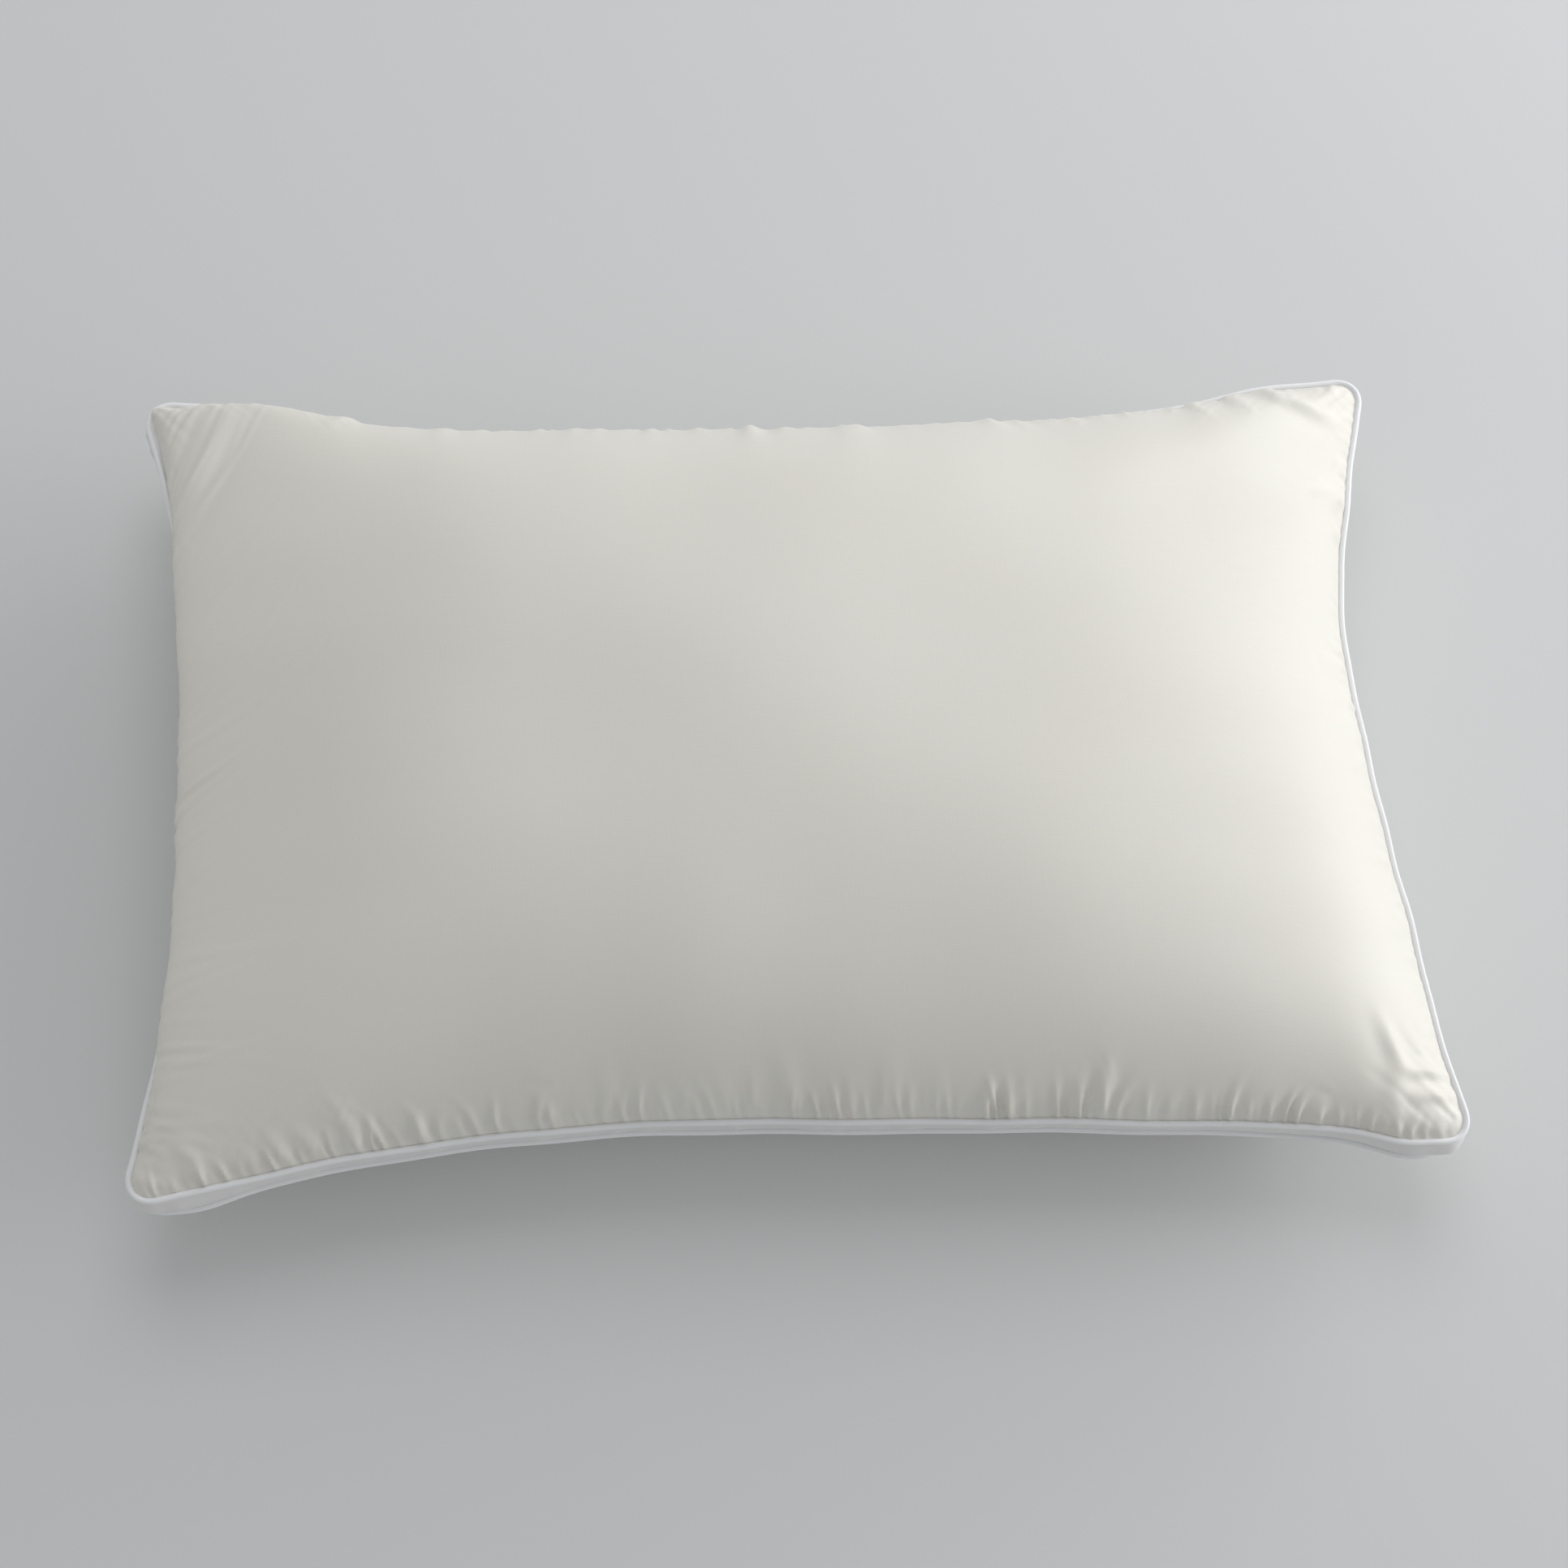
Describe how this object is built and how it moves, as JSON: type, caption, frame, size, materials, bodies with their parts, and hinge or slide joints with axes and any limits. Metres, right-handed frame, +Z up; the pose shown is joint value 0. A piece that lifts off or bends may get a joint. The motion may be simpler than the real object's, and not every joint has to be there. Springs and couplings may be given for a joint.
{
  "type": "bed pillow",
  "caption": "Oblong gusseted bed pillow with a sateen cover, corded piping round both seams and a bagged fibre filling that supports the head.",
  "frame": {"origin": "under the middle of the pillow, on the surface that it rests on", "axes": "+X along the length, +Y across the width towards the closing seam, +Z up out of the bed"},
  "size_m": [0.6971, 0.4509, 0.1745],
  "materials": {
    "panel_sateen": "warm ivory cotton sateen with a soft sheen",
    "gusset_sateen": "cool white cotton sateen",
    "piping_sateen": "cool white bias-cut sateen",
    "cotton_cord": "raw twisted cotton",
    "sewing_thread": "white spun polyester thread",
    "label_tape": "blank white satin tape",
    "nonwoven_bag": "white spunbond nonwoven",
    "fibre_filling": "white loose polyester fibre"
  },
  "bodies": {
    "root": {"top_panel": "panel_sateen", "bottom_panel": "panel_sateen", "front_gusset": "gusset_sateen", "right_gusset": "gusset_sateen", "back_gusset": "gusset_sateen", "left_gusset": "gusset_sateen", "upper_piping_cover": "piping_sateen", "upper_piping_cord": "cotton_cord", "lower_piping_cover": "piping_sateen", "lower_piping_cord": "cotton_cord", "upper_seam_thread": "sewing_thread", "lower_seam_thread": "sewing_thread", "upper_overlock_thread": "sewing_thread", "lower_overlock_thread": "sewing_thread", "gusset_corner_threads": "sewing_thread", "closing_seam_thread": "sewing_thread", "care_label": "label_tape", "bag_upper": "nonwoven_bag", "bag_lower": "nonwoven_bag", "bag_seam_thread": "sewing_thread", "filling": "fibre_filling"}
  },
  "joints": []
}
